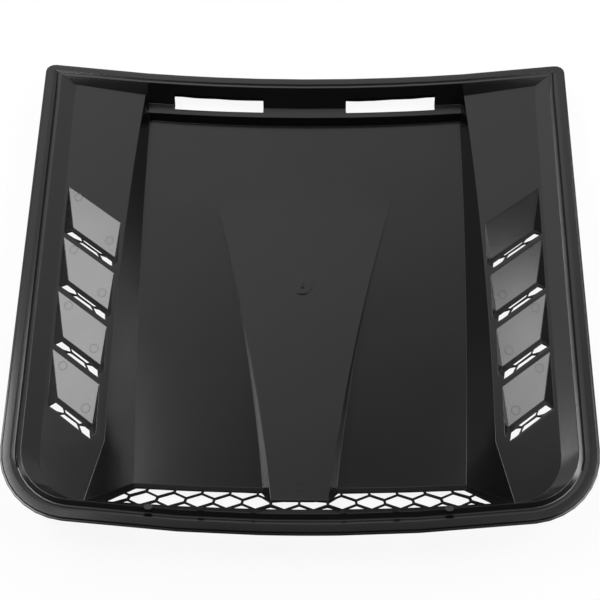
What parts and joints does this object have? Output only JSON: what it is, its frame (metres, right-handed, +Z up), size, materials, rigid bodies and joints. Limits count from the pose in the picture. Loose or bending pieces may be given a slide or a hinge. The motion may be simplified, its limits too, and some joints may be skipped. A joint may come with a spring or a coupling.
{
  "type": "bonnet vent panel",
  "caption": "Moulded black plastic bonnet vent with a deep well, a raised spine, hooded side louvres and a honeycomb mouth that lets hot air out.",
  "frame": {"origin": "centre of the footprint, on the bench that the outer face of the well's floor rests on", "axes": "+X across the car, to the right in the picture; +Y along the car from the honeycomb mouth to the wide hollow edge; +Z up out of the well, which is the side that faces the bonnet"},
  "size_m": [0.7116, 0.6564, 0.0734],
  "materials": {
    "black_plastic": "satin, as moulded"
  },
  "bodies": {
    "root": {"vent_panel": "black_plastic"}
  },
  "joints": []
}
